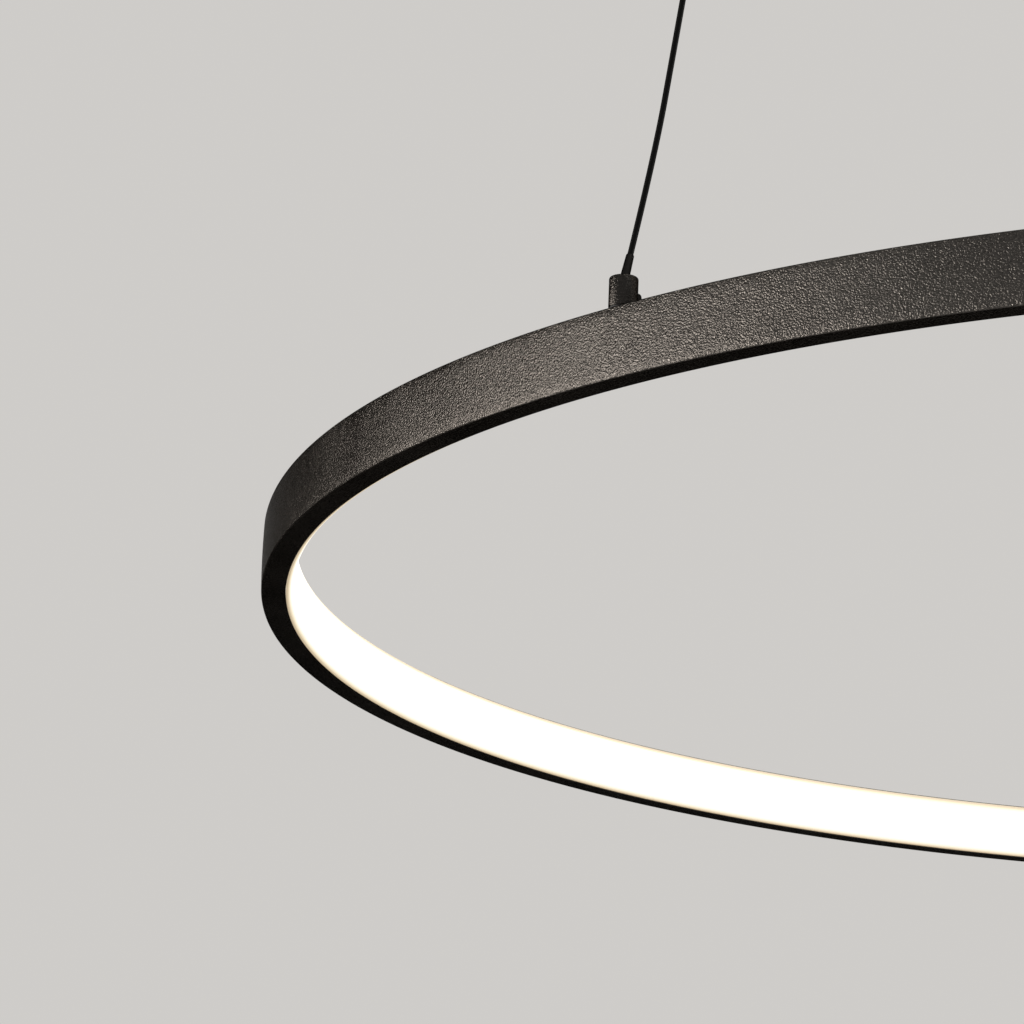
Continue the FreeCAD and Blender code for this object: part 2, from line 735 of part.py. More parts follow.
def rose_cover():
    body = new_body("rose_cover")
    section = new_sketch(body, "cover_section", "XZ_Plane")
    outline(section, [
        ("roseRadius - coverBevel", COVER_BASE),
        ("roseRadius", f"{COVER_BASE} + coverBevel"),
        ("roseRadius", "-ceilingGap"),
        ("roseRadius - coverWall", "-ceilingGap"),
        ("roseRadius - coverWall", f"{COVER_BASE} + coverBevel + coverWall / 2"),
        ("roseRadius - coverBevel - coverWall / 2", f"{COVER_BASE} + coverWall"),
        ("0", f"{COVER_BASE} + coverWall"),
        ("0", COVER_BASE),
    ])
    revolve(body, section, "spun_cover")
    holes = new_sketch(body, "gripper_holes", "XY_Plane", COVER_BASE)
    for azimuth in STATIONS.values():
        circle(holes, f"{GRIP_CIRCLE} * cos({azimuth})", f"{GRIP_CIRCLE} * sin({azimuth})",
               "gripShankRadius + gripHoleFit")
    pocket(body, holes, "gripper_hole_cut", "coverWall", reverse=True)
    side_screw_holes(body, "cover_screw_holes", "roseScrewRadius + screwFit")


def rose_screws():
    length = value("roseScrewLength")
    start = value("roseRadius") - length
    screws = []
    for azimuth in BETWEEN_STATIONS:
        screw = screw_shape(value("roseScrewRadius"), length, value("roseScrewHeadRadius"),
                            value("roseScrewHeadLength"))
        screw.Placement = Placement(Vector(), about_z(azimuth)) * Placement(
            Vector(start, 0, -value("roseScrewDepth")), Rotation(Vector(0, 1, 0), 90))
        screws.append(screw)
    shaped_piece("rose_screws", Part.makeCompound(screws))


def plate_screws(label, places, clamped):
    # Screws up through what they clamp and into the ceiling plate, heads down.
    end_gap = value("ceilingGap")
    screws = []
    for x, y in places:
        screw = screw_shape(value("fixingRadius"), value("plateWall") + clamped - end_gap,
                            value("fixingHeadRadius"), value("fixingHeadLength"))
        screw.Placement = Placement(Vector(x, y, -end_gap), Rotation(Vector(1, 0, 0), 180))
        screws.append(screw)
    shaped_piece(label, Part.makeCompound(screws))


def led_driver():
    body = new_body("led_driver")
    case = new_sketch(body, "case_outline", "XY_Plane", PLATE_FACE)
    outline(case, rounded_rectangle("0", "driverCentre", "driverLength", "driverWidth", "driverCorner"))
    pad(body, case, "case", "driverHeight", reverse=True)
    ears = new_sketch(body, "ear_outline", "XY_Plane", PLATE_FACE)
    outline(ears, rounded_rectangle("0", "driverCentre", "(driverLength + 2 * driverEar)", "driverEar",
                                    "driverCorner"))
    for side in (-1, 1):
        circle(ears, f"{side} * (driverLength / 2 + driverEar / 2)", "driverCentre", "fixingRadius + screwFit")
    pad(body, ears, "ears", "driverEarWall", reverse=True)
    reach = value("driverLength / 2 + driverEar / 2")
    places = [(side * reach, value("driverCentre")) for side in (-1, 1)]
    plate_screws("driver_screws", places, value("driverEarWall"))


def terminal_block():
    body = new_body("terminal_block")
    base = new_sketch(body, "block_outline", "XY_Plane", PLATE_FACE)
    outline(base, rectangle("-blockLength / 2", "blockCentre - blockWidth / 2", "blockLength / 2",
                            "blockCentre + blockWidth / 2"))
    pad(body, base, "block", "blockHeight", reverse=True)
    wells = new_sketch(body, "screw_wells", "XY_Plane", f"{PLATE_FACE} - blockHeight")
    for way in (-1, 0, 1):
        circle(wells, f"{way} * blockPitch", "blockCentre", "blockWellRadius")
    pocket(body, wells, "screw_well_cut", "blockWellDepth", reverse=True)
    entries = new_sketch(body, "wire_entries", "XZ_Plane", "-blockCentre - blockWidth / 2")
    for way in (-1, 0, 1):
        circle(entries, f"{way} * blockPitch", f"{PLATE_FACE} - (blockHeight - blockWellDepth) / 2",
               "blockWellRadius")
    pocket(body, entries, "wire_entry_cut", "blockWidth / 3", reverse=True)

    screws = new_body("terminal_screws")
    heads = new_sketch(screws, "screw_heads", "XY_Plane", f"{PLATE_FACE} - blockHeight + blockWellDepth")
    for way in (-1, 0, 1):
        circle(heads, f"{way} * blockPitch", "blockCentre", "blockWellRadius - screwFit")
    pad(screws, heads, "screw_barrels", "blockScrewLength", reverse=True)
    plate_screws("earth_screw", [(value("earthScrewPlace"), value("blockCentre"))], 0)


# ---- The wire grippers ----

def gripper_body(number, azimuth):
    plunger_bore = "(plungerRadius + plungerFit)"
    body = turned_piece(f"gripper_body_{number}", "gripper_section", [
        ("gripHeadRadius - gripHeadBevel", "-gripHeadLength"),
        ("gripHeadRadius", "-gripHeadLength + gripHeadBevel"),
        ("gripHeadRadius", "0"),
        ("gripShankRadius", "0"),
        ("gripShankRadius", "gripShankLength"),
        ("wireRadius + ballFit + wireFit", "gripShankLength"),
        ("wireRadius + ballFit + wireFit", "chamberRoof"),
        ("chamberRadius", "chamberRoof"),
        ("chamberRadius", "chamberFloor"),
        ("throatRadius", "-throatDepth"),
        ("throatRadius", "-throatDepth - throatWall"),
        (plunger_bore, "-throatDepth - throatWall"),
        (plunger_bore, "-gripHeadLength"),
    ])
    place_at_station(body, azimuth, GRIP_CIRCLE, COVER_BASE)


def gripper_nut(number, azimuth):
    nut = hex_nut(f"gripper_nut_{number}", "gripNutFlats", "gripNutHeight", "(gripShankRadius + gripHoleFit)")
    place_at_station(nut, azimuth, GRIP_CIRCLE, f"{COVER_BASE} + coverWall")


def gripper_jaws(number, azimuth):
    # Three wedges that the taper closes on the wire.
    taper = "((chamberRadius - throatRadius) / (chamberFloor + throatDepth))"
    body = new_body(f"gripper_jaws_{number}")
    section = new_sketch(body, "jaw_section", "XZ_Plane")
    bore = "(wireRadius + wireFit)"
    outline(section, [
        (f"throatRadius + (throatDepth - jawFloor) * {taper} - jawFit", "-jawFloor"),
        (f"throatRadius + (throatDepth + jawTop) * {taper} - jawFit", "jawTop"),
        (bore, "jawTop"),
        (bore, "-jawFloor"),
    ])
    jaw = revolve(body, section, "jaw", "110", centred=True)
    around_axis(body, jaw, "jaws", 3)
    place_at_station(body, azimuth, GRIP_CIRCLE, COVER_BASE)


def gripper_plunger(number, azimuth):
    body = turned_piece(f"gripper_plunger_{number}", "plunger_section", [
        ("plungerRadius - plungerBevel", "-plungerTip"),
        ("plungerRadius", "-plungerTip + plungerBevel"),
        ("plungerRadius", "-plungerShoulder"),
        ("plungerNoseRadius", "-plungerShoulder"),
        ("plungerNoseRadius", "-jawFloor"),
        ("plungerBoreRadius", "-jawFloor"),
        ("plungerBoreRadius", "-plungerTip + plungerFlareDepth"),
        ("plungerFlareRadius", "-plungerTip"),
    ])
    place_at_station(body, azimuth, GRIP_CIRCLE, COVER_BASE)


def gripper_spring(number, azimuth):
    # The coil's outer and inner size, as a sleeve: it is shut up inside the gripper.
    body = turned_piece(f"gripper_spring_{number}", "spring_section", rectangle(
        "springRadius - springWireRadius", "jawTop + springSeatFit",
        "springRadius + springWireRadius", "chamberRoof - springSeatFit"))
    place_at_station(body, azimuth, GRIP_CIRCLE, COVER_BASE)


def check_and_export():
    doc.recompute()
    for item in doc.Objects:
        if "Invalid" in item.State or "Error" in item.State:
            raise RuntimeError(f"{item.Label}: {item.State}")
    for piece in pieces:
        if piece.Shape.isNull() or not piece.Shape.isValid():
            raise RuntimeError(f"{piece.Label}: its shape is not valid")
    os.makedirs("parts", exist_ok=True)
    for piece in pieces:
        piece.Shape.exportStep(f"parts/{piece.Label}.step")
    print(f"{len(pieces)} sub-parts written")


fill_sheet()
ring_profile()
splice()
diffuser()
light_strip()
for station, direction in STATIONS.items():
    anchor_base(station, direction)
    anchor_bush(station, direction)
    anchor_nut(station, direction)
    anchor_cup(station, direction)
    cup_screw(station, direction)
    wire_end(station, direction)
    wire(station, direction)
    gripper_body(station, direction)
    gripper_nut(station, direction)
    gripper_jaws(station, direction)
    gripper_plunger(station, direction)
    gripper_spring(station, direction)
solder_tag(1, STATIONS[1])
solder_tag(2, STATIONS[2])
plain_washer(3, STATIONS[3])
ceiling_plate()
rose_cover()
rose_screws()
led_driver()
terminal_block()
check_and_export()
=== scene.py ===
# Slim LED ring pendant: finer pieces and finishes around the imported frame. Metres, +Z up.
import math
import bmesh
import bpy
from mathutils import Matrix, Vector


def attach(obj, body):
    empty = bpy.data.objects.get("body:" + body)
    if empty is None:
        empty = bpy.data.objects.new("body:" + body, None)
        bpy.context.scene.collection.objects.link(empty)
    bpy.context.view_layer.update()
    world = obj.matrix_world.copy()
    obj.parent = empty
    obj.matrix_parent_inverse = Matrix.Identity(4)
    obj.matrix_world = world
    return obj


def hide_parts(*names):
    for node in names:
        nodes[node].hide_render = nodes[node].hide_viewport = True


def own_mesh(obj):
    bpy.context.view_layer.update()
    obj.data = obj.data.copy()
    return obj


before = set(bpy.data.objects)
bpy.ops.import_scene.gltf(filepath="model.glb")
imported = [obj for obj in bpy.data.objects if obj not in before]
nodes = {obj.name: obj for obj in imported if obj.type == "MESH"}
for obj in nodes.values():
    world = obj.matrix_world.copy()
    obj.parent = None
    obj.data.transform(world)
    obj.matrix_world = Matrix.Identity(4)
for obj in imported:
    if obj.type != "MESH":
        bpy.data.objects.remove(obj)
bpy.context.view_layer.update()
print("frame loaded:", len(nodes), "nodes")

mm = 0.001
stations = {1: -90, 2: 30, 3: 150}  # where the wires stand, in degrees round the ring
betweenStations = (-30, 90, 210)
seamAzimuth = -30  # where the bent channel's ends meet
past = 0.4  # how far a cutting shape goes past a thin wall, mm


# places: a station's own +X points in to the lamp's axis

def polar(azimuth, radius, height):
    a = math.radians(azimuth)
    return Matrix.Translation((radius * mm * math.cos(a), radius * mm * math.sin(a), height * mm))


def turnZ(degrees):
    return Matrix.Rotation(math.radians(degrees), 4, "Z")


def stationPlace(azimuth, radius, height, lean=0.0):
    # lean tips the piece inwards
    tipped = Matrix.Rotation(math.radians(lean), 4, "Y")
    return polar(azimuth, radius, height) @ turnZ(azimuth + 180) @ tipped


# shapes: outlines and sizes in mm, meshes in metres

rounding = {"smallBelow": 0.6, "smallSteps": 3, "largeSteps": 5}


def section(bm, corners):
    # corners are (radius, height) or (radius, height, rounding), round a closed outline
    verts = [bm.verts.new((c[0] * mm, 0, c[1] * mm)) for c in corners]
    bm.faces.new(verts)
    rounded = {}
    for vert, corner in zip(verts, corners):
        if len(corner) > 2:
            rounded.setdefault(corner[2], []).append(vert)
    for size, corner in rounded.items():
        steps = rounding["smallSteps" if size < rounding["smallBelow"] else "largeSteps"]
        bmesh.ops.bevel(bm, geom=corner, offset=size * mm, offset_type="OFFSET",
                        affect="VERTICES", segments=steps, profile=0.5, material=-1)


def turned(corners, steps=64, sweep=360.0):
    # a closed outline spun round the local Z axis; a part turn keeps a face at each end
    bm = bmesh.new()
    section(bm, corners)
    full = sweep > 359.999
    if full:
        bmesh.ops.delete(bm, geom=list(bm.faces), context="FACES_ONLY")
    outline = list(bm.verts) + list(bm.edges) + list(bm.faces)
    bmesh.ops.spin(bm, geom=outline, cent=(0, 0, 0), axis=(0, 0, 1),
                   angle=math.radians(sweep), steps=steps, use_merge=full)
    bmesh.ops.remove_doubles(bm, verts=list(bm.verts), dist=1e-7)
    bmesh.ops.recalc_face_normals(bm, faces=list(bm.faces))
    return bm


def moved(bm, place):
    bmesh.ops.transform(bm, matrix=place, verts=list(bm.verts))
    return bm


def rod(radius, low, high, sides=48):
    bm = bmesh.new()
    bmesh.ops.create_cone(bm, cap_ends=True, segments=sides, radius1=radius * mm,
                          radius2=radius * mm, depth=(high - low) * mm)
    return moved(bm, Matrix.Translation((0, 0, (low + high) / 2 * mm)))


def slotBar(length, width, low, high, turn=0.0):
    bm = bmesh.new()
    bmesh.ops.create_cube(bm, size=1)
    bmesh.ops.scale(bm, vec=(length * mm, width * mm, (high - low) * mm), verts=list(bm.verts))
    return moved(bm, turnZ(turn) @ Matrix.Translation((0, 0, (low + high) / 2 * mm)))


def joined(parts):
    whole = bmesh.new()
    for part in parts:
        mesh = bpy.data.meshes.new("part")
        part.to_mesh(mesh)
        part.free()
        whole.from_mesh(mesh)
        bpy.data.meshes.remove(mesh)
    return whole


def meshObject(name, bm):
    mesh = bpy.data.meshes.new(name)
    bm.to_mesh(mesh)
    bm.free()
    piece = bpy.data.objects.new(name, mesh)
    bpy.context.scene.collection.objects.link(piece)
    return piece


def cutAway(bm, *cuts):
    # each cut is a list of closed shapes that don't touch one another
    block = meshObject("block", bm)
    knives = [meshObject("knife", joined(cut)) for cut in cuts]
    for knife in knives:
        holes = block.modifiers.new("holes", "BOOLEAN")
        holes.object = knife
        holes.operation = "DIFFERENCE"
        holes.solver = "EXACT"
    graph = bpy.context.evaluated_depsgraph_get()
    mesh = bpy.data.meshes.new_from_object(block.evaluated_get(graph))
    result = bmesh.new()
    result.from_mesh(mesh)
    bpy.data.meshes.remove(mesh)
    for piece in [block] + knives:
        old = piece.data
        bpy.data.objects.remove(piece)
        bpy.data.meshes.remove(old)
    return result


def showPiece(name, bm, body, material, stands, place=Matrix(), sharp=38):
    # sharp: edges that turn by more than this many degrees stay crisp
    piece = meshObject(name, moved(bm, place))
    piece.data.shade_smooth()
    piece.data.set_sharp_from_angle(angle=math.radians(sharp))
    for face in piece.data.polygons:
        # level faces stay flat, so that the roundings beside them don't shade them
        face.use_smooth = abs(face.normal.z) < 0.9999
    piece.data.materials.append(material)
    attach(piece, body)
    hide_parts(stands)
    return piece


# finishes: one grain effect, placed in each material with its own values

grain = {"sandDetail": 1.0, "sandRoughness": 0.5, "cloudScale": 34.0, "cloudDetail": 4.0,
         "contrastFrom": 0.25, "contrastTo": 0.75, "bumpHeight": 0.00025}
lowAngle = {"blend": 0.5, "from": 0.42, "to": 0.72}


def shaderGroup(name, inputs, outputs):
    group = bpy.data.node_groups.new(name, "ShaderNodeTree")
    for title, kind, start in inputs:
        socket = group.interface.new_socket(title, in_out="INPUT", socket_type="NodeSocket" + kind)
        socket.default_value = start
    for title, kind in outputs:
        group.interface.new_socket(title, in_out="OUTPUT", socket_type="NodeSocket" + kind)
    return group, group.nodes.new("NodeGroupInput"), group.nodes.new("NodeGroupOutput")


def sandyGrainGroup():
    # even fine sand, with a faint cloudiness over it; Grain Size is in mm
    group, given, made = shaderGroup("sandyGrain", [
        ("Grain Size", "Float", 0.6), ("Squeeze", "Vector", (1, 1, 1)), ("Depth", "Float", 0.4),
        ("Base", "Color", (0.03, 0.03, 0.03, 1)), ("Tone Change", "Float", 0.25),
        ("Roughness", "Float", 0.5), ("Sparkle", "Float", 0.1)],
        [("Color", "Color"), ("Roughness", "Float"), ("Normal", "Vector")])
    link = group.links.new
    where = group.nodes.new("ShaderNodeTexCoord")
    density = group.nodes.new("ShaderNodeMath")  # grains per metre
    density.operation = "DIVIDE"
    density.inputs[0].default_value = 1 / mm
    link(given.outputs["Grain Size"], density.inputs[1])
    sand = group.nodes.new("ShaderNodeTexNoise")
    sand.inputs["Detail"].default_value = grain["sandDetail"]
    sand.inputs["Roughness"].default_value = grain["sandRoughness"]
    squeezed = group.nodes.new("ShaderNodeVectorMath")  # a squeeze in Z lays grains along the walls
    squeezed.operation = "MULTIPLY"
    link(where.outputs["Object"], squeezed.inputs[0])
    link(given.outputs["Squeeze"], squeezed.inputs[1])
    link(squeezed.outputs[0], sand.inputs["Vector"])
    link(density.outputs[0], sand.inputs["Scale"])
    cloud = group.nodes.new("ShaderNodeTexNoise")
    cloud.inputs["Scale"].default_value = grain["cloudScale"]
    cloud.inputs["Detail"].default_value = grain["cloudDetail"]
    link(where.outputs["Object"], cloud.inputs["Vector"])
    contrast = group.nodes.new("ShaderNodeMapRange")
    contrast.inputs["From Min"].default_value = grain["contrastFrom"]
    contrast.inputs["From Max"].default_value = grain["contrastTo"]
    link(sand.outputs["Fac"], contrast.inputs["Value"])
    bump = group.nodes.new("ShaderNodeBump")
    bump.inputs["Distance"].default_value = grain["bumpHeight"]
    link(given.outputs["Depth"], bump.inputs["Strength"])
    link(contrast.outputs["Result"], bump.inputs["Height"])
    tone = group.nodes.new("ShaderNodeMath")  # sand and cloud together, about 1
    tone.operation = "ADD"
    link(contrast.outputs["Result"], tone.inputs[0])
    link(cloud.outputs["Fac"], tone.inputs[1])
    centred = group.nodes.new("ShaderNodeMath")  # and about 0
    centred.operation = "SUBTRACT"
    centred.inputs[1].default_value = 1.0
    link(tone.outputs[0], centred.inputs[0])
    change = group.nodes.new("ShaderNodeMath")
    change.operation = "MULTIPLY_ADD"
    change.inputs[2].default_value = 1.0
    link(centred.outputs[0], change.inputs[0])
    link(given.outputs["Tone Change"], change.inputs[1])
    colour = group.nodes.new("ShaderNodeVectorMath")
    colour.operation = "SCALE"
    link(given.outputs["Base"], colour.inputs[0])
    link(change.outputs[0], colour.inputs["Scale"])
    rough = group.nodes.new("ShaderNodeMath")
    rough.operation = "MULTIPLY_ADD"
    link(centred.outputs[0], rough.inputs[0])
    link(given.outputs["Sparkle"], rough.inputs[1])
    link(given.outputs["Roughness"], rough.inputs[2])
    link(colour.outputs[0], made.inputs["Color"])
    link(rough.outputs[0], made.inputs["Roughness"])
    link(bump.outputs["Normal"], made.inputs["Normal"])
    return group


sandyGrain = sandyGrainGroup()


def finish(name, settings, metallic=0.0, specular=0.5, flatEdges=0.0, edgeTint=None):
    # flatEdges: how much rougher the surface gets where it is seen at a low angle
    material = bpy.data.materials.new(name)
    material.use_nodes = True
    tree = material.node_tree
    link = tree.links.new
    shader = tree.nodes["Principled BSDF"]
    shader.inputs["Metallic"].default_value = metallic
    shader.inputs["Specular IOR Level"].default_value = specular
    if edgeTint:
        shader.inputs["Specular Tint"].default_value = edgeTint
    worker = tree.nodes.new("ShaderNodeGroup")
    worker.node_tree = sandyGrain
    for socket, amount in settings.items():
        worker.inputs[socket].default_value = amount
    link(worker.outputs["Color"], shader.inputs["Base Color"])
    link(worker.outputs["Normal"], shader.inputs["Normal"])
    if flatEdges:
        angle = tree.nodes.new("ShaderNodeLayerWeight")
        angle.inputs["Blend"].default_value = lowAngle["blend"]
        dull = tree.nodes.new("ShaderNodeMapRange")
        dull.inputs["From Min"].default_value = lowAngle["from"]
        dull.inputs["From Max"].default_value = lowAngle["to"]
        dull.inputs["To Max"].default_value = flatEdges
        both = tree.nodes.new("ShaderNodeMath")
        both.operation = "ADD"
        both.use_clamp = True
        link(angle.outputs["Facing"], dull.inputs["Value"])
        link(dull.outputs["Result"], both.inputs[0])
        link(worker.outputs["Roughness"], both.inputs[1])
        link(both.outputs[0], shader.inputs["Roughness"])
    else:
        link(worker.outputs["Roughness"], shader.inputs["Roughness"])
    return material


# the black coats are dark metal with a black edge tint, which keeps pale sheen off their edges
noSheen = (0, 0, 0, 1)
powderCoat = finish("blackPowderCoat", {
    "Grain Size": 0.58, "Squeeze": (1, 1, 1.2), "Depth": 0.65, "Base": (0.052, 0.0486, 0.0452, 1),
    "Tone Change": 0.5, "Roughness": 0.33, "Sparkle": 0.12}, metallic=1.0, edgeTint=noSheen)
# the cup wears the ring's black powder coat; this copy has a darker base, as painted shade, and a
# tighter sheen
cupCoatPaintedShade = finish("blackCupCoatPaintedShade", {
    "Grain Size": 0.45, "Depth": 0.55, "Base": (0.03, 0.028, 0.026, 1), "Tone Change": 0.5,
    "Roughness": 0.26, "Sparkle": 0.12}, metallic=1.0, edgeTint=noSheen)
satinBlack = finish("satinBlackFittings", {
    "Grain Size": 0.5, "Depth": 0.1, "Base": (0.018, 0.0175, 0.017, 1), "Tone Change": 0.2,
    "Roughness": 0.4, "Sparkle": 0.06}, metallic=1.0, edgeTint=noSheen)
wireJacket = finish("wireJacket", {
    "Grain Size": 0.7, "Depth": 0.06, "Base": (0.005, 0.005, 0.005, 1), "Tone Change": 0.2,
    "Roughness": 0.6, "Sparkle": 0.08}, specular=0.05, flatEdges=0.4)
whitePlastic = finish("whiteMouldedPlastic", {
    "Grain Size": 1.6, "Depth": 0.12, "Base": (0.80, 0.80, 0.77, 1), "Tone Change": 0.04,
    "Roughness": 0.5, "Sparkle": 0.05})
zincSteel = finish("zincPlatedSteel", {
    "Grain Size": 2.0, "Depth": 0.03, "Base": (0.62, 0.63, 0.64, 1), "Tone Change": 0.12,
    "Roughness": 0.32, "Sparkle": 0.15}, metallic=1.0)
rawAluminium = finish("rawAluminium", {
    "Grain Size": 1.0, "Depth": 0.05, "Base": (0.75, 0.75, 0.76, 1), "Tone Change": 0.08,
    "Roughness": 0.38, "Sparkle": 0.1}, metallic=1.0)
springSteel = finish("springSteel", {
    "Grain Size": 0.8, "Depth": 0.04, "Base": (0.50, 0.50, 0.51, 1), "Tone Change": 0.1,
    "Roughness": 0.25, "Sparkle": 0.1}, metallic=1.0)
brass = finish("turnedBrass", {
    "Grain Size": 1.2, "Depth": 0.05, "Base": (0.78, 0.60, 0.29, 1), "Tone Change": 0.12,
    "Roughness": 0.28, "Sparkle": 0.12}, metallic=1.0)
blackNylon = finish("blackNylon", {
    "Grain Size": 1.0, "Depth": 0.1, "Base": (0.015, 0.015, 0.015, 1), "Tone Change": 0.15,
    "Roughness": 0.6, "Sparkle": 0.08}, specular=0.3)
stripBoard = finish("stripBoard", {
    "Grain Size": 1.5, "Depth": 0.05, "Base": (0.82, 0.82, 0.78, 1), "Tone Change": 0.05,
    "Roughness": 0.3, "Sparkle": 0.05})
ledPhosphor = finish("ledPhosphor", {
    "Grain Size": 0.8, "Depth": 0.1, "Base": (0.86, 0.66, 0.18, 1), "Tone Change": 0.12,
    "Roughness": 0.35, "Sparkle": 0.05})
print("finishes made")


# the ring: an aluminium channel open inwards, its diffuser, and the screws of its joint

ring = {"top": -960.0, "height": 21.1, "radius": 400.0, "depth": 8.3, "web": 1.2, "flange": 1.0,
        "edgeRound": 0.45, "lipRound": 0.12, "crown": 0.2, "seam": 0.2, "studHole": 1.8,
        "crownPoints": (0.15, 0.3, 0.5, 0.7, 0.85), "steps": 720}
ring["base"] = ring["top"] - ring["height"]
ring["mouth"] = ring["radius"] - ring["depth"]
ring["middle"] = ring["radius"] - ring["depth"] / 2
groove = {"inset": 0.5, "width": 0.8, "depth": 0.35}
splice = {"places": (-1.5, -0.5, 0.5, 1.5), "pitch": 12.0, "hole": 1.05, "screw": 1.0,
          "length": 3.4, "inset": 0.2, "edgeRound": 0.2, "socket": 1.0, "socketDepth": 1.2,
          "socketPast": 0.5, "socketTurn": 7}


def spliceSpots():
    # where the joint's four grub screws stand, two each side of the seam
    for step in splice["places"]:
        yield seamAzimuth + math.degrees(step * splice["pitch"] / ring["middle"])


def ringChannel():
    top, base, mouth = ring["top"], ring["base"], ring["mouth"]
    web, rim = ring["radius"] - ring["web"], ring["radius"] - ring["crown"]
    roof, floor = top - ring["flange"], base + ring["flange"]
    near, far = mouth + groove["inset"], mouth + groove["inset"] + groove["width"]
    lip, edge, deep = ring["lipRound"], ring["edgeRound"], groove["depth"]
    crown = [(ring["radius"] - ring["crown"] * (2 * t - 1) ** 2, base + ring["height"] * t)
             for t in ring["crownPoints"]]  # the outer wall is barely convex
    channel = turned([(rim, base, edge)] + crown + [
        (rim, top, edge), (mouth, top, lip), (mouth, roof, lip), (near, roof),
        (near, roof + deep), (far, roof + deep), (far, roof), (web, roof), (web, floor),
        (far, floor), (far, floor - deep), (near, floor - deep), (near, floor),
        (mouth, floor, lip), (mouth, base, lip)],
        steps=ring["steps"], sweep=360 - math.degrees(ring["seam"] / ring["radius"]))
    studHoles = [moved(rod(ring["studHole"], roof - past, top + past),
                       polar(azimuth, ring["middle"], 0)) for azimuth in stations.values()]
    screwHoles = [moved(rod(splice["hole"], base - past, floor + past, sides=32),
                        polar(azimuth, ring["middle"], 0)) for azimuth in spliceSpots()]
    return cutAway(moved(channel, turnZ(seamAzimuth)), studHoles + screwHoles)


def grubScrews():
    low = ring["base"] + splice["inset"]
    high = low + splice["length"]
    screws = []
    for azimuth in spliceSpots():
        screw = turned([
            (splice["screw"], low, splice["edgeRound"]),
            (splice["screw"], high, splice["edgeRound"]), (0, high), (0, low)], steps=32)
        socket = rod(splice["socket"] / math.sqrt(3), low - splice["socketPast"],
                     low + splice["socketDepth"], sides=6)
        turn = turnZ(azimuth * splice["socketTurn"])  # no two sockets stand alike
        screws.append(moved(cutAway(screw, [socket]), polar(azimuth, ring["middle"], 0) @ turn))
    return joined(screws)


# share of the ring's height, and the light there: dim edges, then cream, white in the middle; the
# base is a grey beige, darker than the white opal, as painted shade that keeps lamp light off the
# dim edges
opal = {"dome": 3.0, "shoulder": 6.0, "margin": 0.3, "fit": 0.08, "leg": 0.8,
        "domeAngles": (9, 18, 28, 39, 51, 64, 77, 90),
        "base": (0.50, 0.46, 0.40, 1), "roughness": 0.5,
        "glow": ((0.014, (0.30, 0.22, 0.12, 1)), (0.018, (0.40, 0.31, 0.18, 1)),
                 (0.03, (0.70, 0.58, 0.39, 1)), (0.052, (0.94, 0.84, 0.69, 1)),
                 (0.075, (0.99, 0.94, 0.87, 1)), (0.105, (1.0, 0.99, 0.975, 1)),
                 (0.81, (1.0, 0.99, 0.975, 1)), (0.84, (0.99, 0.94, 0.87, 1)),
                 (0.862, (0.98, 0.89, 0.76, 1)), (0.885, (0.92, 0.80, 0.62, 1)),
                 (0.906, (0.78, 0.65, 0.45, 1)), (0.93, (0.56, 0.44, 0.26, 1)),
                 (0.958, (0.42, 0.32, 0.18, 1)), (0.986, (0.40, 0.30, 0.17, 1)))}


def opalStrip():
    fit, leg, mouth = opal["fit"], opal["leg"], ring["mouth"]
    top, base = ring["top"] - opal["margin"], ring["base"] + opal["margin"]
    back, rise, deep = mouth - fit, opal["shoulder"], groove["depth"]
    legTop = ring["top"] - ring["flange"] - fit
    legBase = ring["base"] + ring["flange"] + fit
    near = mouth + groove["inset"] + fit
    far = mouth + groove["inset"] + groove["width"] - fit
    shoulder = [(back - opal["dome"] * math.sin(math.radians(t)),
                 rise * (1 - math.cos(math.radians(t)))) for t in opal["domeAngles"]]
    return turned([
        (back, base), (back, legBase), (near, legBase), (near, legBase - deep), (far, legBase),
        (far, legBase + leg), (back, legBase + leg), (back, legTop - leg), (far, legTop - leg),
        (far, legTop), (near, legTop + deep), (near, legTop), (back, legTop), (back, top)]
        + [(r, top - drop) for r, drop in shoulder]
        + [(r, base + drop) for r, drop in reversed(shoulder)], steps=ring["steps"])


def opalGlow():
    material = bpy.data.materials.new("opalDiffuser")
    material.use_nodes = True
    tree = material.node_tree
    link = tree.links.new
    shader = tree.nodes["Principled BSDF"]
    # painted shade: a grey beige base, darker than the white opal, so lamp light doesn't lift the
    # glow's dim edges
    shader.inputs["Base Color"].default_value = opal["base"]
    shader.inputs["Roughness"].default_value = opal["roughness"]
    shader.inputs["Emission Strength"].default_value = 1.0
    where = tree.nodes.new("ShaderNodeTexCoord")
    split = tree.nodes.new("ShaderNodeSeparateXYZ")
    link(where.outputs["Object"], split.inputs[0])
    height = tree.nodes.new("ShaderNodeMapRange")
    height.inputs["From Min"].default_value = ring["base"] * mm
    height.inputs["From Max"].default_value = ring["top"] * mm
    link(split.outputs["Z"], height.inputs["Value"])
    ramp = tree.nodes.new("ShaderNodeValToRGB")
    stops = ramp.color_ramp.elements
    stops[0].position, stops[0].color = opal["glow"][0]
    stops[1].position, stops[1].color = opal["glow"][-1]
    for position, colour in opal["glow"][1:-1]:
        stops.new(position).color = colour
    link(height.outputs["Result"], ramp.inputs[0])
    link(ramp.outputs["Color"], shader.inputs["Emission Color"])
    return material


showPiece("ringChannel", ringChannel(), "ring", powderCoat, "ring_profile")
showPiece("spliceScrews", grubScrews(), "ring", zincSteel, "splice_screws")
showPiece("opalDiffuser", opalStrip(), "ring", opalGlow(), "diffuser")
print("ring made")


# the wire fittings on the ring: a cup, its side screw, and the wire's ball end in its ferrule

